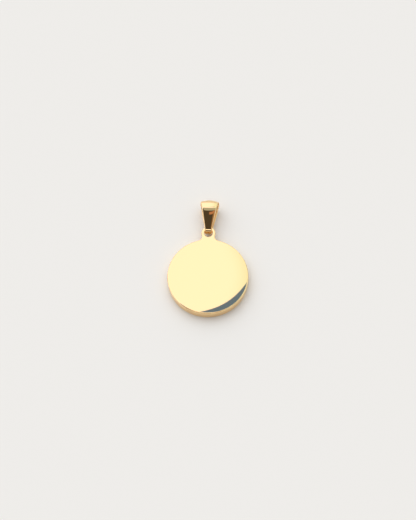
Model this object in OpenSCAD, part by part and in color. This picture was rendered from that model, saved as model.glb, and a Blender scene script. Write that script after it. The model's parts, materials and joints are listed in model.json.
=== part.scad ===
// Disc charm: a round mirror-polished pendant blank with an eyelet in one piece with it,
// and a tapered strap bail that loops through the eyelet.
// The charm lies on its back. +Y runs from the disc to the bail, +Z is up,
// and the origin is at the middle of the footprint, on the surface it lies on.

/* [Disc] */
// Diameter of the disc
disc_d = 18; // [12:0.5:25]
// Thickness of the disc at its rim
rim_t = 2.2; // [1.5:0.1:3]
// Rise of the front face's middle above the rim
crown = 0.14; // [0.05:0.01:0.3]
// Radius of the part of the front face that is flat, as a share of the disc's
flat_share = 0.5; // [0.3:0.05:0.7]
// Radius of the rim's rounded edges
rim_round = 0.2; // [0.1:0.05:0.4]

/* [Eyelet] */
// Distance from the disc's centre to the hole's
eyelet_y = 10.5; // [10.2:0.1:11]
// Outer diameter of the eyelet
eyelet_d = 3.2; // [3:0.1:3.6]
// Diameter of the hole
hole_d = 1.9; // [1.85:0.05:2]
// Thickness of the eyelet, flush with the rim's front edge
eyelet_t = 1.2; // [1.1:0.05:1.3]
// Radius of the hollow flares between the eyelet and the disc
flare_r = 1; // [0.8:0.1:1.4]
// Chamfer round the hole's front mouth
front_chamfer = 0.1; // [0.1:0.05:0.2]
// Chamfer round the hole's back mouth, where the bail swings past it
back_chamfer = 0.2; // [0.15:0.05:0.2]

/* [Bail] */
// Distance from the pivot to the fold's centre, along the surface
bail_reach = 4.2; // [3.5:0.1:5]
// Outer radius of the wide fold at the bail's end
fold_r = 2.3; // [2:0.1:2.5]
// Outer radius of the narrow bend that passes through the eyelet
bend_r = 1.16; // [1.14:0.01:1.2]
// Thickness of the strip at the fold
fold_strip = 0.5; // [0.4:0.05:0.6]
// Thickness of the strip at the bend
bend_strip = 0.3; // [0.28:0.01:0.3]
// Width of the strip at the fold's far end, where it is widest
fold_w = 4.18; // [3.5:0.1:4.5]
// Width of the legs over the pivot
leg_w = 1.6; // [1.5:0.05:1.7]
// Width of the strip in the eyelet's hole
bend_w = 1.5; // [1.3:0.05:1.5]
// How far the loose bail leans to one side of the disc's own line, in degrees
bail_lean = 2.2; // [0:0.2:4]

/* [Hidden] */
$fn = 96;

gold = "gold";
eps = 0.01;
arc_steps = 6;

disc_r = disc_d / 2;
flat_r = disc_r * flat_share;
hole_r = hole_d / 2;
eyelet_r = eyelet_d / 2;
eyelet_back = rim_t - eyelet_t;

// The crowned face is an arc from the edge of the flat to the rim's rounded edge.
crown_run = disc_r - rim_round - flat_r;
crown_arc_r = (crown_run * crown_run + crown * crown) / (2 * crown);
crown_slope = asin(crown_run / crown_arc_r);
face_z = rim_t + crown;
rim_centre_z = rim_t - rim_round * cos(crown_slope);

// The bail turns about the bar of the eyelet above the hole.
pivot_y = eyelet_y + 0.75 * eyelet_r;
pivot_z = rim_t - eyelet_t / 2;
fold_y = pivot_y + bail_reach;
fold_z = fold_r;

// The flat strip is a long diamond: widest for a short run each side of the fold's far end,
// from where it tapers evenly along its length until it is as narrow as in the hole.
bail_end_y = fold_y + fold_r;
wide_run = 1.5;
leg_stretch = 1.06;
taper = (fold_w - leg_w) / 2 / (strip_run(pivot_y) - wide_run);
taper_start_y = pivot_y - (leg_w - bend_w) / 2 / taper / leg_stretch;

// The part's middle along Y is set at the origin. The leaning bail's far corner ends it.
lean_end_y = pivot_y + (bail_end_y - pivot_y) * cos(bail_lean) + fold_w / 2 * sin(bail_lean);
middle_y = (lean_end_y - disc_r) / 2;

function arc_points(centre, r, from, to, steps) =
    [for (i = [0:steps])
        let (a = from + (to - from) * i / steps)
        centre + r * [cos(a), sin(a)]];

// Length of strip from the fold's far end back to y: round the fold, then down a leg, whose
// slope makes it a little longer than its plan
function strip_run(y) =
    y > fold_y ? fold_r * acos((y - fold_y) / fold_r) * PI / 180
               : fold_r * PI / 2 + (fold_y - y) * leg_stretch;

function strip_half_w(y) =
    max(bend_w / 2, fold_w / 2 - taper * max(0, strip_run(y) - wide_run));

// Half of the disc's section, from its axis to its rim
module disc_section() {
    lower = arc_points([disc_r - rim_round, rim_round], rim_round, -90, 0, arc_steps);
    upper = arc_points([disc_r - rim_round, rim_centre_z], rim_round,
                       0, 90 - crown_slope, arc_steps);
    face = arc_points([flat_r, face_z - crown_arc_r], crown_arc_r,
                      90 - crown_slope, 90, 2 * arc_steps);
    polygon(concat([[0, 0]], lower, upper, face, [[0, face_z]]));
}

// The eyelet's outline: a round end, a neck and the two hollow flares that join it to the disc
module eyelet_outline() {
    near = disc_r + flare_r;
    far = eyelet_r + flare_r;
    flare_y = (near * near - far * far + eyelet_y * eyelet_y) / (2 * eyelet_y);
    flare_x = sqrt(near * near - flare_y * flare_y);
    foot = [flare_x, flare_y] * disc_r / near;
    head = [0, eyelet_y] + ([flare_x, flare_y] - [0, eyelet_y]) * eyelet_r / far;
    translate([0, eyelet_y]) circle(eyelet_r);
    difference() {
        polygon([[-foot.x, foot.y - 0.5], [foot.x, foot.y - 0.5], foot, head,
                 [-head.x, head.y], [-foot.x, foot.y]]);
        for (side = [-1, 1]) translate([side * flare_x, flare_y]) circle(flare_r);
    }
}

// The eyelet, cut back behind a sloping shoulder so that the bail can turn round it
module eyelet() {
    shoulder = [[disc_r, -eps], [disc_r, 0], [disc_r + eyelet_back, eyelet_back],
                [eyelet_y + disc_r, eyelet_back], [eyelet_y + disc_r, -eps]];
    difference() {
        linear_extrude(rim_t - eps) eyelet_outline();
        rotate([90, 0, 90]) linear_extrude(disc_r, center = true) polygon(shoulder);
        translate([0, eyelet_y, -eps]) cylinder(h = rim_t + 2 * eps, r = hole_r);
        translate([0, eyelet_y, rim_t - eps - front_chamfer])
            cylinder(h = front_chamfer + eps, r1 = hole_r, r2 = hole_r + front_chamfer + eps);
        translate([0, eyelet_y, eyelet_back - eps])
            cylinder(h = back_chamfer + eps, r1 = hole_r + back_chamfer + eps, r2 = hole_r);
    }
}

// The disc and its eyelet, one solid blank
module disc() {
    color(gold) translate([0, -middle_y, 0]) {
        rotate_extrude() disc_section();
        eyelet();
    }
}

// A drop seen from the side: a small circle at the pivot, a large one at the fold,
// and the two straight lines that touch both
module drop(low_r, high_r) {
    low = [pivot_y, pivot_z];
    high = [fold_y, fold_z];
    span = norm(high - low);
    axis = atan2(high.y - low.y, high.x - low.x);
    spread = 90 + asin((high_r - low_r) / span);
    upper = [cos(axis + spread), sin(axis + spread)];
    lower = [cos(axis - spread), sin(axis - spread)];
    translate(low) circle(low_r);
    translate(high) circle(high_r);
    polygon([low + low_r * lower, high + high_r * lower,
             high + high_r * upper, low + low_r * upper]);
}

// The strip's outline from above. Its sides bend outwards over the fold, where the strip turns.
module strip_plan() {
    turns = 2 * arc_steps;
    over_fold = [for (i = [0:turns])
        let (y = fold_y + fold_r * sin(90 * i / turns)) [strip_half_w(y), y]];
    right = concat([[bend_w / 2, pivot_y - 2 * bend_r], [bend_w / 2, taper_start_y]], over_fold,
                   [[fold_w / 2, bail_end_y + 1]]);
    left = [for (i = [len(right) - 1:-1:0]) [-right[i].x, right[i].y]];
    polygon(concat(right, left));
}

// The bail: one strip, bent into a closed drop-shaped loop
module bail() {
    color(gold) translate([0, pivot_y - middle_y, 0]) rotate([0, 0, -bail_lean])
        translate([0, -pivot_y, 0]) intersection() {
            rotate([90, 0, 90]) linear_extrude(fold_w + 1, center = true) difference() {
                drop(bend_r, fold_r);
                drop(bend_r - bend_strip, fold_r - fold_strip);
            }
            translate([0, 0, -1]) linear_extrude(2 * fold_r + 2) strip_plan();
        }
}

disc();
bail();
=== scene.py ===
# %% [markdown]
# # A polished disc charm
# The charm is a gold-plated steel disc, 18 mm across, with an eyelet and a bent strap bail.
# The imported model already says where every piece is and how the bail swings.
# This lesson gives both pieces the smooth surfaces that a mirror finish needs, because a mirror
# shows every flat facet of a mesh, and then builds the soft light that they reflect.

# %% Load the frame
import json

import bmesh
import bpy
import numpy as np
from mathutils import Matrix, Vector


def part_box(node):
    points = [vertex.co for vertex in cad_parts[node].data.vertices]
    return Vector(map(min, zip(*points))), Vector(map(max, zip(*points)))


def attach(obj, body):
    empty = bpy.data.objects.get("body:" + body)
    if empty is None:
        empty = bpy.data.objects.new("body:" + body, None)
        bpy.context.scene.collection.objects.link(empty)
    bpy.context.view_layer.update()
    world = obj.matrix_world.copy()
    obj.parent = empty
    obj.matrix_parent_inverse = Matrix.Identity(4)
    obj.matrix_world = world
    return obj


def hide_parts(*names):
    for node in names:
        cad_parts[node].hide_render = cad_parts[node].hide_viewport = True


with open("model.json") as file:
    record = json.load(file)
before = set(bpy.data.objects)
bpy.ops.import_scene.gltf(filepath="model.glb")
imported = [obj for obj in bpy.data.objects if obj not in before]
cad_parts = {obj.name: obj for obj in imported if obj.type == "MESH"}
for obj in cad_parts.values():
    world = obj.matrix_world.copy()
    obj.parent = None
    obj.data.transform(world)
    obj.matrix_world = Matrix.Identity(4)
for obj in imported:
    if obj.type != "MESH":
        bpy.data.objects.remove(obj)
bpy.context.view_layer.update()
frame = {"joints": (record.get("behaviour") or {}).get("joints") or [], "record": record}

# %% [markdown]
# Jewellery is measured in millimetres and Blender in metres, so the shapes are worked out in
# millimetres and scaled once, when they go into a mesh. The driving sizes come from the frame:
# the disc's box gives its radius and centre, the joint gives the bail's pivot and lean, and the
# chain's mount gives the fold at the bail's far end.

# %% Driving sizes from the frame
MM = 0.001

disc_low, disc_high = (np.array(corner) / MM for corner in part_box("disc"))
bail_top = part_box("bail")[1][2] / MM
hinge = frame["joints"][0]
channel = next(m for m in frame["record"]["mounts"] if m["name"] == "chain_channel")

DISC_R = disc_high[0]
DISC_Y = disc_low[1] + DISC_R
PIVOT = np.array(hinge["pos_m"]) / MM
FOLD = np.array(channel["pos_m"]) / MM
BAIL_X = np.array(hinge["axis"])
BAIL_Y = np.array([-BAIL_X[1], BAIL_X[0], 0.0])
UP = np.array([0, 0, 1])
print("disc radius", DISC_R.round(3), "centre y", DISC_Y.round(3), "pivot", PIVOT, "fold", FOLD)

# %% [markdown]
# Three small helpers do the mesh work. A surface is a grid of points, one row after another,
# and its faces join each point to its neighbours in the next row and column. A closed grid
# also joins its last column to its first. The patches of a piece are stacked, points that
# coincide are merged, and the normals of the closed shell are turned outwards.

# %% Helpers that turn grids into meshes
WELD = 2e-7


def grid_faces(rows, columns, closed):
    """Quads of a grid: each joins (i, j), (i, j+1), (i+1, j+1) and (i+1, j)."""
    i = np.arange(rows - 1)[:, None]
    j = np.arange(columns if closed else columns - 1)[None, :]
    after = (j + 1) % columns
    corners = (i * columns + j, i * columns + after, (i + 1) * columns + after, (i + 1) * columns + j)
    return np.stack(corners, axis=-1).reshape(-1, 4)


def stack(patches):
    """One list of points and one of faces, from several (points, faces) patches."""
    starts = np.cumsum([0] + [len(points) for points, _ in patches[:-1]])
    points = np.concatenate([points for points, _ in patches])
    faces = [face for start, (_, quads) in zip(starts, patches) for face in (quads + start).tolist()]
    return points, faces


def piece(name, patches, node):
    """A smooth closed mesh from patches in millimetres, which rides with and replaces a CAD node."""
    points, faces = stack(patches)
    mesh = bpy.data.meshes.new(name)
    mesh.from_pydata((points * MM).tolist(), [], faces)
    shell = bmesh.new()
    shell.from_mesh(mesh)
    bmesh.ops.remove_doubles(shell, verts=shell.verts, dist=WELD)
    bmesh.ops.dissolve_degenerate(shell, edges=shell.edges, dist=WELD)
    bmesh.ops.recalc_face_normals(shell, faces=shell.faces)
    loose = sum(not edge.is_manifold for edge in shell.edges)
    shell.to_mesh(mesh)
    print(f"{name}: {len(shell.faces)} faces, open edges {loose}, {shell.calc_volume() / MM**3:.1f} mm3")
    shell.free()
    mesh.shade_smooth()
    made = bpy.data.objects.new(name, mesh)
    bpy.context.scene.collection.objects.link(made)
    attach(made, node)
    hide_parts(node)
    return made


# %% [markdown]
# ## The blank: disc and eyelet in one
# On the real charm the disc and its eyelet are one piece of plate, and the outline runs from
# the rim into the eyelet through two hollow flares. Every stretch of that outline is an arc, so
# a point on it is a centre plus a radius in some direction. Moving the outline inwards by an
# inset shortens the radius of a full arc and lengthens that of a hollow one, which is all that
# the rounded edges need. A boolean or a bevel would leave uneven faces along the flares, and a
# mirror finish would show them.

# %% Sizes of the blank
RIM_T = 2.2
CROWN = 0.14
CROWN_POWER = 3.6
EDGE_R = 0.2
EYELET_R = 1.6
HOLE_R = 0.95
FRONT_MOUTH = 0.1
BACK_MOUTH = 0.2
FLARE_R = 1.0
EYELET_BACK = 1.0
WALL_BULGE = 0.03

EYELET_Y = disc_high[1] - DISC_Y - EYELET_R
FACE_SLOPE = np.arcsin(CROWN * CROWN_POWER / DISC_R)
WALL_SLOPE = np.arctan(4 * WALL_BULGE / (RIM_T - 2 * EDGE_R))
FACE_INSET = WALL_BULGE + EDGE_R * (1 - np.sin(FACE_SLOPE))
BACK_INSET = WALL_BULGE + EDGE_R
FACE_R = DISC_R - FACE_INSET

flare_from_disc, flare_from_eyelet = DISC_R + FLARE_R, EYELET_R + FLARE_R
FLARE_Y = (flare_from_disc**2 - flare_from_eyelet**2 + EYELET_Y**2) / (2 * EYELET_Y)
FLARE_X = np.sqrt(flare_from_disc**2 - FLARE_Y**2)
print("eyelet centre", EYELET_Y.round(3), "flare centre", FLARE_X.round(3), FLARE_Y.round(3))

# %% The outline as a chain of arcs
SEAM_ANGLE = 205.0
SEAM_STEPS = 14
RIM_STEPS, ROOT_STEPS, NECK_STEPS, HEAD_STEPS = 330, 12, 10, 72


def arc(centre, radius, start, end, steps, hollow=False):
    """Nodes of one arc: centre x and y, radius, 1 or -1 for full or hollow, and angle, without the last."""
    angles = np.radians(np.linspace(start, end, steps, endpoint=False))
    nodes = np.empty((steps, 5))
    nodes[:, :4] = (*centre, radius, -1 if hollow else 1)
    nodes[:, 4] = angles
    return nodes


foot_angle = np.degrees(np.arctan2(FLARE_Y, FLARE_X))
head_angle = np.degrees(np.arctan2(FLARE_Y - EYELET_Y, FLARE_X))
right, left = (FLARE_X, FLARE_Y), (-FLARE_X, FLARE_Y)
stretches = {
    "rim": arc((0, 0), DISC_R, 180 - foot_angle, 360 + foot_angle, RIM_STEPS),
    "root_right": arc(right, FLARE_R, 180 + foot_angle, SEAM_ANGLE, ROOT_STEPS, hollow=True),
    "neck_right": arc(right, FLARE_R, SEAM_ANGLE, 180 + head_angle, NECK_STEPS, hollow=True),
    "head": arc((0, EYELET_Y), EYELET_R, head_angle, 180 - head_angle, HEAD_STEPS),
    "neck_left": arc(left, FLARE_R, -head_angle, 180 - SEAM_ANGLE, NECK_STEPS, hollow=True),
    "root_left": arc(left, FLARE_R, 180 - SEAM_ANGLE, -foot_angle, ROOT_STEPS, hollow=True),
}
OUTLINE = np.concatenate(list(stretches.values()))
counts = np.cumsum([0] + [len(nodes) for nodes in stretches.values()])
SEAM_RIGHT, SEAM_LEFT = counts[2], counts[5]


def outline(inset):
    """The outline moved inwards: centre + (radius - inset) x direction, or + inset on a hollow arc."""
    reach = OUTLINE[:, 2] - OUTLINE[:, 3] * inset
    return OUTLINE[:, :2] + reach[:, None] * np.stack([np.cos(OUTLINE[:, 4]), np.sin(OUTLINE[:, 4])], -1)


print("outline points:", len(OUTLINE))

# %% [markdown]
# The front isn't quite flat. Polishing rolls it off towards the rim, and that slight crown is
# what bends the reflection into the dark crescent seen in the photograph. Its height falls with
# the power 3.6 of the distance from the middle, so the middle stays flat and the slope grows
# to three degrees at the rim. On the eyelet the slope fades out over a fraction of a millimetre.
# The back is flat, and behind the eyelet it rises at 45 degrees to make room for the bail.

# %% Heights of the front and the back
EYELET_FADE = 0.3
SHOULDER_SOFT = 0.08


def front_height(x, y):
    """Rim height plus crown x (1 - (r / face radius)^power); beyond the rim an exponential fade."""
    r = np.hypot(x, y)
    inside = CROWN * (1 - np.minimum(r / FACE_R, 1) ** CROWN_POWER)
    beyond = np.maximum(r - FACE_R, 0)
    fallen = np.tan(FACE_SLOPE) * EYELET_FADE * (1 - np.exp(-beyond / EYELET_FADE))
    return RIM_T + inside - fallen


def softened(value, soft):
    """Zero below nought and the value above it, with a hyperbola for the bend between."""
    return (value + np.sqrt(value**2 + soft**2)) / 2


def back_height(x, y):
    """A 45 degree ramp that starts at the rim and stops at the eyelet's back, both bends rounded."""
    lifted = softened(y - DISC_R, SHOULDER_SOFT)
    return EYELET_BACK - softened(EYELET_BACK - lifted, SHOULDER_SOFT)


# %% [markdown]
# Each side of the blank is two patches that meet along a short chord across the neck. The first
# is a fan of rings that shrink from the outline to the disc's centre, and the second is a set of
# rings that shrink from the eyelet's outline to the mouth of the hole. Both carry their points
# to the height of that side. A band runs along the outline and joins the two sides with its
# rounded edges and a wall that bulges by a few hundredths of a millimetre, as a polished edge
# does. Another band lines the hole.

# %% Patches of the blank
DISC_RINGS, RIM_CROWDING = 49, 1.35
EYELET_RINGS = 13
FRONT_EDGE_STEPS, WALL_STEPS, BACK_EDGE_STEPS = 11, 13, 9
MOUTH_STEPS = 6
HOLE_DROPS = (0.1, 0.5, 0.9)


def chord(edge):
    """Points across the neck, from the right end of the seam to the left."""
    along = np.linspace(0, 1, SEAM_STEPS + 1)[:, None]
    return (1 - along) * edge[SEAM_RIGHT] + along * edge[SEAM_LEFT]


def raised(points, height):
    """Plan points with the height function's value as the third coordinate."""
    return np.concatenate([points, height(points[:, 0], points[:, 1])[:, None]], axis=1)


def disc_patch(edge, height):
    """Rings s x boundary, where s runs from 1 to 0 and is closer together near the rim."""
    loop = np.concatenate([edge[:SEAM_RIGHT], chord(edge)[:-1], edge[SEAM_LEFT:]])
    shrink = 1 - np.linspace(0, 1, DISC_RINGS) ** RIM_CROWDING
    points = (shrink[:, None, None] * loop).reshape(-1, 2)
    return raised(points, height), grid_faces(len(shrink), len(loop), closed=True)


def eyelet_loop(edge):
    """The eyelet's closed boundary: its outline and the chord back across the neck."""
    return np.concatenate([edge[SEAM_RIGHT:SEAM_LEFT], chord(edge)[:0:-1]])


def hole_ring(angles, radius):
    """Points round the hole's centre at the given angles."""
    return np.stack([radius * np.cos(angles), EYELET_Y + radius * np.sin(angles)], -1)


def eyelet_patch(edge, height, angles, mouth_cut):
    """Rings blended from the eyelet's boundary to the mouth of the hole."""
    outer, mouth = eyelet_loop(edge), hole_ring(angles, HOLE_R + mouth_cut)
    blend = np.linspace(0, 1, EYELET_RINGS)[:, None, None]
    points = ((1 - blend) * outer + blend * mouth).reshape(-1, 2)
    return raised(points, height), grid_faces(len(blend), len(outer), closed=True)


def rim_band():
    """The outline carried over the front's rounded edge, down the wall and round the back's edge.
    The wall sits in by bulge x (1 - 2 drop)^2, so it stands out most halfway down."""
    edge = outline(FACE_INSET)
    top = front_height(edge[:, 0], edge[:, 1]) - EDGE_R * np.cos(FACE_SLOPE)
    base = outline(BACK_INSET)
    foot = back_height(base[:, 0], base[:, 1]) + EDGE_R
    rows = []
    for turn in np.linspace(FACE_SLOPE, np.pi / 2 - WALL_SLOPE, FRONT_EDGE_STEPS):
        ring = outline(WALL_BULGE + EDGE_R * (1 - np.sin(turn)))
        rows.append(np.column_stack([ring, top + EDGE_R * np.cos(turn)]))
    for drop in np.linspace(0, 1, WALL_STEPS)[1:-1]:
        ring = outline(WALL_BULGE * (1 - 2 * drop) ** 2)
        rows.append(np.column_stack([ring, top + (foot - top) * drop]))
    for turn in np.linspace(np.pi / 2 + WALL_SLOPE, np.pi, BACK_EDGE_STEPS):
        ring = outline(WALL_BULGE + EDGE_R * (1 - np.sin(turn)))
        rows.append(np.column_stack([ring, foot + EDGE_R * np.cos(turn)]))
    return np.concatenate(rows), grid_faces(len(rows), len(OUTLINE), closed=True)


def hole_band(angles):
    """The hole's wall, with the front mouth rounded over a quarter circle and the back's likewise."""
    front_mouth = hole_ring(angles, HOLE_R + FRONT_MOUTH)
    back_mouth = hole_ring(angles, HOLE_R + BACK_MOUTH)
    front = front_height(front_mouth[:, 0], front_mouth[:, 1])
    back = back_height(back_mouth[:, 0], back_mouth[:, 1])
    rows = []
    for turn in np.linspace(0, np.pi / 2, MOUTH_STEPS):
        ring = hole_ring(angles, HOLE_R + FRONT_MOUTH * (1 - np.sin(turn)))
        rows.append(np.column_stack([ring, front - FRONT_MOUTH * (1 - np.cos(turn))]))
    for drop in HOLE_DROPS:
        wall = (front - FRONT_MOUTH) * (1 - drop) + (back + BACK_MOUTH) * drop
        rows.append(np.column_stack([hole_ring(angles, HOLE_R), wall]))
    for turn in np.linspace(np.pi / 2, 0, MOUTH_STEPS):
        ring = hole_ring(angles, HOLE_R + BACK_MOUTH * (1 - np.sin(turn)))
        rows.append(np.column_stack([ring, back + BACK_MOUTH * (1 - np.cos(turn))]))
    return np.concatenate(rows), grid_faces(len(rows), len(angles), closed=True)


# %% Make the blank
front_edge, back_edge = outline(FACE_INSET), outline(BACK_INSET)
boundary = eyelet_loop(front_edge)
hole_angles = np.unwrap(np.arctan2(boundary[:, 1] - EYELET_Y, boundary[:, 0]))
blank_patches = [
    disc_patch(front_edge, front_height),
    eyelet_patch(front_edge, front_height, hole_angles, FRONT_MOUTH),
    rim_band(),
    hole_band(hole_angles),
    disc_patch(back_edge, back_height),
    eyelet_patch(back_edge, back_height, hole_angles, BACK_MOUTH),
]
place_disc = np.array([0, DISC_Y, 0])
blank = piece("polished_disc", [(points + place_disc, faces) for points, faces in blank_patches], "disc")

# %% [markdown]
# ## The bail: one strip, bent into a drop
# A bail like this is cut as a flat strip, narrow at its two ends and wide in the middle, and
# bent round a pin into a closed drop. From the side it is two circles, the narrow bend that
# hangs in the eyelet and the wide fold that the chain goes through, and two legs that touch
# both. The legs are bowed outwards a little, so each is a long arc. The strip is a small rounded
# section carried along that closed path. It was cut as a long diamond, so its width shrinks
# evenly with the length of strip from the fold's far end. Its outer face is domed across at the
# fold, which rounds the fold's top as the photograph shows. On the legs it is nearly flat, and
# its sides roll off.

# %% Sizes of the bail
REACH = np.linalg.norm((FOLD - PIVOT)[:2])
RISE = FOLD[2] - PIVOT[2]
FOLD_R = bail_top / 2
BEND_R = 1.16
FOLD_STRIP = FOLD_R - channel["dims"]["r_mm"]
BEND_STRIP = 0.3
FOLD_HALF_W = channel["dims"]["length_mm"] / 2
LEG_HALF_W = 0.80
BEND_HALF_W = 0.75
WIDE_RUN = 1.5
WIDE_SOFT, NARROW_SOFT = 0.25, 0.03
LEG_STRETCH = 1.06
LEG_BOW_R = 40.0
FOLD_DOME, LEG_DOME, LEG_ROLL = 0.2, 0.03, 0.04
ROLL_POWER = 8
DOME_TURN = (1.0, 2.8)
EDGE_SHARE = 0.22
print("reach", REACH.round(3), "rise", RISE.round(3), "fold radius", round(FOLD_R, 3))

# %% The bail's side view and width
FOLD_STEPS, BEND_STEPS = 97, 61
LEG_STEPS, LEG_CROWDING = 62, 1.7


def turned(centre, radius, turns):
    """Points of a circle: centre + radius x (cosine, sine) of each turn."""
    return np.asarray(centre) + radius * np.stack([np.cos(turns), np.sin(turns)], -1)


def side_path(bend_r, fold_r, bow_r):
    """The drop's closed path: fold, front leg, bend and back leg, as (distance, height). A leg is
    an arc of the bow's radius that touches both circles, so its centre is bow - fold radius from
    the fold's and bow - bend radius from the bend's, and the law of cosines gives the angles."""
    axis, span = np.arctan2(RISE, REACH), np.hypot(REACH, RISE)
    to_fold, to_bend = bow_r - fold_r, bow_r - bend_r
    at_bend = np.arccos((to_bend**2 + span**2 - to_fold**2) / (2 * to_bend * span))
    centre = to_bend * np.array([np.cos(axis - at_bend), np.sin(axis - at_bend)])
    mirrored = to_bend * np.array([np.cos(axis + at_bend), np.sin(axis + at_bend)])
    fold_end = np.arctan2(*(np.array([REACH, RISE]) - centre)[::-1]) - axis
    bend_end = np.arctan2(*(-centre)[::-1]) - axis
    fold = turned([REACH, RISE], fold_r, axis + fold_end * np.linspace(-1, 1, FOLD_STEPS))
    round_bend = bend_end + (2 * np.pi - 2 * bend_end) * np.linspace(0, 1, BEND_STEPS)
    bend = turned([0, 0], bend_r, axis + round_bend)
    along = 1 - (1 - np.linspace(0, 1, LEG_STEPS)[1:-1]) ** LEG_CROWDING
    leg_turns = fold_end + (bend_end - fold_end) * along
    front_leg = turned(centre, bow_r, axis + leg_turns)
    back_leg = turned(mirrored, bow_r, axis - leg_turns)[::-1]
    return np.concatenate([fold, front_leg, bend, back_leg])


def strip_run(distance):
    """Length of strip from the fold's far end: round the fold, then down a leg with its slope."""
    over = np.clip((distance - REACH) / FOLD_R, 0, 1)
    return FOLD_R * np.arccos(over) + LEG_STRETCH * np.maximum(REACH - distance, 0)


def half_width(distance):
    """Half the strip's width: it shrinks evenly along the strip, with soft ends to the taper."""
    taper = (FOLD_HALF_W - LEG_HALF_W) / (strip_run(0.0) - WIDE_RUN)
    shrunk = FOLD_HALF_W - taper * softened(strip_run(distance) - WIDE_RUN, WIDE_SOFT)
    return BEND_HALF_W + softened(shrunk - BEND_HALF_W, NARROW_SOFT)


def dome(distance, x, half):
    """How far the outer face sinks to the sides: half width x (dome x s^2 + roll x s^8), where s is
    x / half width. The dome arches the fold's far end and fades out towards the legs, which are
    nearly flat and roll off along their sides."""
    run = np.clip((strip_run(distance) - DOME_TURN[0]) / (DOME_TURN[1] - DOME_TURN[0]), 0, 1)
    blend = run**2 * (3 - 2 * run)
    arched = ((1 - blend) * FOLD_DOME + blend * LEG_DOME) * (x / half) ** 2
    return half * (arched + blend * LEG_ROLL * (x / half) ** ROLL_POWER)


# %% Make the bail
ACROSS_STEPS, EDGE_TURNS = 15, 7


def bail_surface():
    """The section carried round the path. Round an edge, a point sits in from the side by
    r - r cos(turn) and below the face by r - r sin(turn), and the dome sinks it further."""
    outer = side_path(BEND_R, FOLD_R, LEG_BOW_R)
    inner = side_path(BEND_R - BEND_STRIP, FOLD_R - FOLD_STRIP, LEG_BOW_R - FOLD_STRIP)
    through = inner - outer
    thick = np.linalg.norm(through, axis=1)
    edge_r = EDGE_SHARE * thick

    def column(side, turn, lower):
        """All points of the path at one place on the section: -1 to 1 across, and round an edge."""
        at_edge = abs(side) == 1
        inset = edge_r * (1 - np.cos(turn)) if at_edge else edge_r
        depth = edge_r * (1 - np.sin(turn)) if at_edge else 0 * thick
        depth = thick - depth if lower else depth
        spot = outer + through * (depth / thick)[:, None]
        half = half_width(spot[:, 0])
        x = side * (half - inset)
        sunk = depth + (1 - depth / thick) * dome(spot[:, 0], x, half)
        spot = outer + through * (sunk / thick)[:, None]
        return np.stack([x, spot[:, 0], spot[:, 1]], -1)

    across = np.linspace(-1, 1, ACROSS_STEPS)[1:-1]
    turns = np.linspace(0, np.pi / 2, EDGE_TURNS)
    section = [(side, 0, False) for side in across]
    section += [(1, turn, False) for turn in turns[::-1]]
    section += [(1, turn, True) for turn in turns]
    section += [(side, 0, True) for side in across[::-1]]
    section += [(-1, turn, True) for turn in turns[::-1]]
    section += [(-1, turn, False) for turn in turns]
    rows = np.stack([column(*place) for place in section + section[:1]])
    local = rows.reshape(-1, 3)
    points = PIVOT + local[:, :1] * BAIL_X + local[:, 1:2] * BAIL_Y + local[:, 2:] * UP
    return points, grid_faces(len(rows), len(outer), closed=True)


strap = piece("strap_bail", [bail_surface()], "bail")

# %% [markdown]
# ## Polished gold plate
# Gold plate on a polished blank is almost a mirror. Its colour is the colour of what it
# reflects, times gold. The base colour was worked out from places where the photograph shows
# gold mirror a neutral grey. Fine wiping marks only change how sharp the reflection is, so they
# go into the roughness and a very faint bump, stretched along one direction as polishing
# leaves them.
#
# A polishing wheel doesn't reach inside the bail, so its inner side stays satin. The strip's loop
# has a plane through its middle, from the pivot to the fold. Outside the loop the surface faces
# away from that plane, and inside it faces the plane, so the sign of one product tells them apart.

# %% Gold material
# Lengths in a material are in metres: the satin's fade and the bump's depth.
GOLD = (1.0, 0.72, 0.38, 1.0)
MIRROR = (0.015, 0.03)
SATIN = 0.3
SATIN_FADE = 0.00002
WIPES_SCALE = 900
WIPES_STRETCH = (1.0, 9.0, 1.0)
WIPES_TURN = 35
WIPES_DETAIL = 4
WIPES_SPAN = (0.3, 0.75)
BUMP_STRENGTH = 0.01
BUMP_DEPTH = 0.00001


def away_from_plane(nodes, links, place, normal):
    """Distance from a plane through the pivot x the surface normal's part along the plane's normal."""
    offset = nodes.new("ShaderNodeVectorMath")
    offset.operation = "SUBTRACT"
    offset.inputs[1].default_value = PIVOT * MM
    links.new(place.outputs["Object"], offset.inputs[0])
    parts = []
    for source in (offset.outputs["Vector"], place.outputs["Normal"]):
        part = nodes.new("ShaderNodeVectorMath")
        part.operation = "DOT_PRODUCT"
        part.inputs[1].default_value = normal
        links.new(source, part.inputs[0])
        parts.append(part.outputs["Value"])
    product = nodes.new("ShaderNodeMath")
    product.operation = "MULTIPLY"
    for part, socket in zip(parts, product.inputs):
        links.new(part, socket)
    return product.outputs["Value"]


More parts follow.
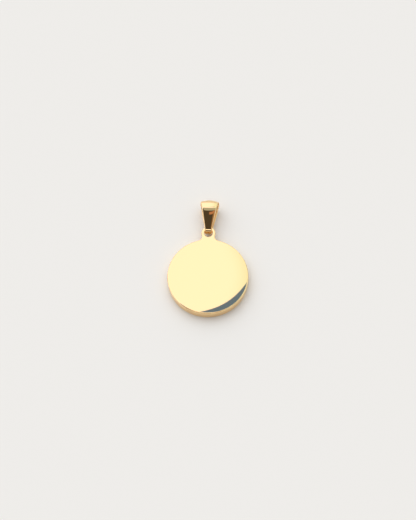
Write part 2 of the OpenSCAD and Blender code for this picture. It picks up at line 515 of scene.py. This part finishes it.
def gold_plate(name, satin_plane=None):
    """Metal whose roughness varies a little with stretched noise, with a faint bump of the same.
    Given a plane's normal, the roughness is raised where the surface faces that plane."""
    material = bpy.data.materials.new(name)
    material.use_nodes = True
    nodes, links = material.node_tree.nodes, material.node_tree.links
    shader = nodes["Principled BSDF"]
    shader.inputs["Base Color"].default_value = GOLD
    shader.inputs["Metallic"].default_value = 1.0

    def ramp(source, low, high, to_low, to_high):
        """The source's range from low to high, carried to the other range."""
        node = nodes.new("ShaderNodeMapRange")
        node.inputs["From Min"].default_value = low
        node.inputs["From Max"].default_value = high
        node.inputs["To Min"].default_value = to_low
        node.inputs["To Max"].default_value = to_high
        links.new(source, node.inputs["Value"])
        return node.outputs["Result"]

    place = nodes.new("ShaderNodeTexCoord")
    stretch = nodes.new("ShaderNodeMapping")
    stretch.inputs["Scale"].default_value = WIPES_STRETCH
    stretch.inputs["Rotation"].default_value = (0, 0, np.radians(WIPES_TURN))
    wipes = nodes.new("ShaderNodeTexNoise")
    wipes.inputs["Scale"].default_value = WIPES_SCALE
    wipes.inputs["Detail"].default_value = WIPES_DETAIL
    bump = nodes.new("ShaderNodeBump")
    bump.inputs["Strength"].default_value = BUMP_STRENGTH
    bump.inputs["Distance"].default_value = BUMP_DEPTH

    links.new(place.outputs["Object"], stretch.inputs["Vector"])
    links.new(stretch.outputs["Vector"], wipes.inputs["Vector"])
    rough = ramp(wipes.outputs["Fac"], *WIPES_SPAN, *MIRROR)
    if satin_plane is not None:
        inner = ramp(away_from_plane(nodes, links, place, satin_plane), -SATIN_FADE, 0.0, SATIN, 0.0)
        both = nodes.new("ShaderNodeMath")
        both.operation = "ADD"
        links.new(rough, both.inputs[0])
        links.new(inner, both.inputs[1])
        rough = both.outputs["Value"]
    links.new(rough, shader.inputs["Roughness"])
    links.new(wipes.outputs["Fac"], bump.inputs["Height"])
    links.new(bump.outputs["Normal"], shader.inputs["Normal"])
    return material


loop_normal = np.cross(BAIL_X, FOLD - PIVOT)
loop_normal = loop_normal / np.linalg.norm(loop_normal)
blank.data.materials.append(gold_plate("gold_plate"))
strap.data.materials.append(gold_plate("gold_plate_bail", loop_normal))
print("normal of the plane through the bail's loop", loop_normal.round(3))

# %% [markdown]
# ## Floor, camera and light
# The charm lies on a plain pale floor. The camera stands 24 degrees off straight above, a
# little to the right, and far enough away that the disc's ellipse has the photograph's shape.
# The disc's centre is 15.9 pixels under the middle of the picture and 4.53 pixels make a
# millimetre there, so the camera aims a little above the disc.

# %% Floor
FLOOR_HALF = 1.5
PALE = (0.84, 0.825, 0.80, 1)

floor_mesh = bpy.data.meshes.new("floor")
floor_corners = [(FLOOR_HALF * x, FLOOR_HALF * y, 0) for x, y in ((-1, -1), (1, -1), (1, 1), (-1, 1))]
floor_mesh.from_pydata(floor_corners, [], [(0, 1, 2, 3)])
floor = bpy.data.objects.new("floor", floor_mesh)
bpy.context.scene.collection.objects.link(floor)
matt = bpy.data.materials.new("pale_floor")
matt.use_nodes = True
matt_shader = matt.node_tree.nodes["Principled BSDF"]
matt_shader.inputs["Base Color"].default_value = PALE
matt_shader.inputs["Roughness"].default_value = 0.9
matt_shader.inputs["Specular IOR Level"].default_value = 0.0
floor_mesh.materials.append(matt)
print("floor is", 2 * FLOOR_HALF, "m wide")

# %% Camera
PHOTO_W, PHOTO_H = 416, 520
FACE_PX = (207.83, 275.93)
PX_PER_MM = 4.53
DISTANCE = 800.0
TILT = 23.9
AZIMUTH = 3.0
ROLL = -2.5


def photo_camera():
    """A camera that looks down at the disc's face, with the face's centre at its pixel."""
    tilt, azimuth, roll = np.radians([TILT, AZIMUTH, ROLL])
    back = Vector((np.sin(azimuth) * np.sin(tilt), -np.cos(azimuth) * np.sin(tilt), np.cos(tilt)))
    right = Vector((np.cos(azimuth), np.sin(azimuth), 0))
    up = back.cross(right)
    turned_right = right * np.cos(roll) + up * np.sin(roll)
    turned_up = up * np.cos(roll) - right * np.sin(roll)
    face = Vector((0, DISC_Y, RIM_T + CROWN))
    aside = (PHOTO_W / 2 - FACE_PX[0]) / PX_PER_MM
    above = (FACE_PX[1] - PHOTO_H / 2) / PX_PER_MM
    spot = face + back * DISTANCE + turned_right * aside + turned_up * above
    camera = bpy.data.cameras.new("photo_camera")
    camera.sensor_fit = "HORIZONTAL"
    camera.lens = camera.sensor_width * PX_PER_MM * DISTANCE / PHOTO_W
    camera.clip_start = MM
    holder = bpy.data.objects.new("photo_camera", camera)
    turn = Matrix((turned_right, turned_up, back)).transposed().to_4x4()
    holder.matrix_world = Matrix.Translation(spot * MM) @ turn
    bpy.context.scene.collection.objects.link(holder)
    print("camera at", [round(v, 1) for v in spot], "lens", round(camera.lens, 1))
    return holder


bpy.context.scene.camera = photo_camera()

# %% [markdown]
# A mirror shows the room, so most of the charm's look is in the world around it. The room is
# written as brightness by direction. Most of the sky is white soft light. Overhead towards the
# near side is a dark shade, and its far edge is a straight line in the sky. The disc's flat
# middle reflects the white beside that line, and its rolled-off rim reflects past it, into the
# blue-grey edge of the shade: that is the crescent. The bail's fold sweeps over the same sky:
# first the white, then a lighter gap in the shade, then its grey. The front leg shows the dark
# middle of the shade, with a small warm ember, and a lamp lower down lights the lip of the bend.
# Beyond the lamp the shade ends in a tan light, which keeps the face gold from behind.
#
# Directions are named by two measures: their part along X, and the angle by which they tip from
# straight up towards the near side. Each limit comes with a softness, because a hard one would
# alias in the narrow bands of the bail.
#
# The pale floor is lit by an even light and one soft lobe from the far left, which gives the
# soft shadow under the charm's near edge. The switch between the two kinds of light asks whether
# a ray is diffuse. Sampling the world as a lamp would skip that question, so it is turned off.

# %% Colours of the room
WHITE_LEFT = (1.34, 1.29, 1.38, 1)
WHITE_RIGHT = (0.97, 1.13, 1.03, 1)
DIM_RIGHT = (0.60, 0.61, 0.64, 1)
HORIZON = (0.62, 0.60, 0.58, 1)
SHADE = (0.075, 0.062, 0.048, 1)
WARM = (0.36, 0.22, 0.12, 1)
EMBER = (0.50, 0.25, 0.15, 1)
GREY = (0.456, 0.50, 0.495, 1)
SLATE = (0.138, 0.2375, 0.468, 1)
LAMP = (2.1, 2.05, 1.95, 1)
NEAR_END = (0.46, 0.38, 0.295, 1)
BACKDROP = (0.80, 0.79, 0.77, 1)

# %% Where each light of the room begins and ends
X, Z = (1, 0, 0), (0, 0, 1)
SHADE_EDGE = (-0.5989, 0.7581, -0.2582)

# Parts along an axis: a light begins at the first value and is full at the second.
RIGHT_WHITE = (0.0, 0.12)
DIM_BEGINS, DIM_ENDS = (0.35, 0.7), (0.90, 0.76)
ABOVE_HORIZON = (0.02, 0.35)
WARM_BEGINS = (0.05, 0.16)
GREY_BEGINS = (-0.35, -0.25)
GAP_WIDENS = (0.10, 0.12)
SLATE_RIM = (-0.10, -0.06)
INSIDE_EDGE = (-0.001, -0.005)
SHADE_ABOVE = (-0.02, 0.06)

# Sides: the least and greatest part along X, and the softness of both.
SHADE_SIDES = (-0.75, 0.46, 0.05)
EMBER_SIDES = (-0.045, 0.3, 0.012)
LAMP_SIDES = (-0.4, 0.15, 0.05)
DARK_MIDDLE = (-0.2, 0.1, 0.06)

# Tips: degrees from straight up towards the near side, and the softness, negative where it ends.
GAP_TIPS = (-16.5, 0.006), (-7, -0.012)
GREY_TIP = (19.2, -0.008)
EMBER_TIPS = (20.3, 0.006), (22.0, -0.006)
LAMP_TIPS = (32.5, 0.008), (43, -0.02)
END_ASIDE_TIP, END_TIP = (44, 0.08), (61, 0.05)

# Light on the floor: even + lobe x (the direction's part along the lobe's way)^power.
FLOOR_EVEN = 0.41
FLOOR_LOBE = 1.96
LOBE_POWER = 3
LOBE_WAY = (-0.2334, 0.5834, 0.7779)


# %% The room as light by direction
def room():
    """World nodes: mixes of the colours above, by dot products of the direction with a few axes."""
    world = bpy.data.worlds.new("room")
    world.use_nodes = True
    world.cycles.sampling_method = "NONE"
    nodes, links = world.node_tree.nodes, world.node_tree.links
    background = nodes["Background"]
    direction = nodes.new("ShaderNodeTexCoord").outputs["Generated"]

    def set_or_link(socket, value):
        if isinstance(value, bpy.types.NodeSocket):
            links.new(value, socket)
        else:
            socket.default_value = value

    def dot(axis):
        node = nodes.new("ShaderNodeVectorMath")
        node.operation = "DOT_PRODUCT"
        node.inputs[1].default_value = axis
        links.new(direction, node.inputs[0])
        return node.outputs["Value"]

    def along(axis, low, high):
        """0 to 1, smoothly, as the direction's part along the axis goes from low to high."""
        ramp = nodes.new("ShaderNodeMapRange")
        ramp.interpolation_type = "SMOOTHSTEP"
        ramp.inputs["From Min"].default_value = low
        ramp.inputs["From Max"].default_value = high
        links.new(dot(axis), ramp.inputs["Value"])
        return ramp.outputs["Result"]

    def toward(degrees, soft):
        """0 to 1 as the direction tips past that angle from straight up towards the near side."""
        turn = np.radians(degrees)
        return along((0, -np.cos(turn), -np.sin(turn)), -soft, soft)

    def mix(amount, first, second):
        node = nodes.new("ShaderNodeMixRGB")
        set_or_link(node.inputs["Fac"], amount)
        set_or_link(node.inputs["Color1"], first)
        set_or_link(node.inputs["Color2"], second)
        return node.outputs["Color"]

    def calculate(operation, first, second):
        node = nodes.new("ShaderNodeMath")
        node.operation = operation
        set_or_link(node.inputs[0], first)
        set_or_link(node.inputs[1], second)
        return node.outputs["Value"]

    def times(*factors):
        result = factors[0]
        for factor in factors[1:]:
            result = calculate("MULTIPLY", result, factor)
        return result

    def opposite(amount):
        return calculate("SUBTRACT", 1.0, amount)

    def between(low, high, soft):
        """1 where the direction's part along X is between the two limits."""
        return times(along(X, low - soft, low + soft), along(X, high + soft, high - soft))

    def band(tips):
        """1 where the direction tips past the first of two angles and not past the second."""
        return times(*[toward(*tip) for tip in tips])

    white = mix(along(X, *RIGHT_WHITE), WHITE_LEFT, WHITE_RIGHT)
    dim = times(along(X, *DIM_BEGINS), along(X, *DIM_ENDS))
    white = mix(dim, white, DIM_RIGHT)
    white = mix(along(Z, *ABOVE_HORIZON), HORIZON, white)

    shade = mix(along(X, *WARM_BEGINS), SHADE, WARM)
    shade = mix(times(between(*EMBER_SIDES), band(EMBER_TIPS)), shade, EMBER)
    shade = mix(times(along(X, *GREY_BEGINS), toward(*GREY_TIP)), shade, GREY)
    shade = mix(along(SHADE_EDGE, *SLATE_RIM), shade, SLATE)
    shade = mix(times(band(LAMP_TIPS), between(*LAMP_SIDES)), shade, LAMP)
    end_aside = times(toward(*END_ASIDE_TIP), opposite(between(*DARK_MIDDLE)))
    shade = mix(calculate("MAXIMUM", toward(*END_TIP), end_aside), shade, NEAR_END)

    gap_begins, gap_ends = GAP_TIPS
    gap = times(calculate("MAXIMUM", toward(*gap_begins), along(X, *GAP_WIDENS)), toward(*gap_ends))
    overhead = times(between(*SHADE_SIDES), along(Z, *SHADE_ABOVE))
    shaded = times(along(SHADE_EDGE, *INSIDE_EDGE), overhead, opposite(gap))
    seen = mix(shaded, white, shade)

    lobe = calculate("POWER", calculate("MAXIMUM", dot(LOBE_WAY), 0.0), LOBE_POWER)
    on_floor = calculate("ADD", calculate("MULTIPLY", lobe, FLOOR_LOBE), FLOOR_EVEN)
    rays = nodes.new("ShaderNodeLightPath").outputs
    light = mix(rays["Is Diffuse Ray"], seen, on_floor)
    links.new(mix(rays["Is Camera Ray"], light, BACKDROP), background.inputs["Color"])
    print("the room has", len(nodes), "nodes")
    return world


bpy.context.scene.world = room()
bpy.context.scene.view_settings.view_transform = "Standard"
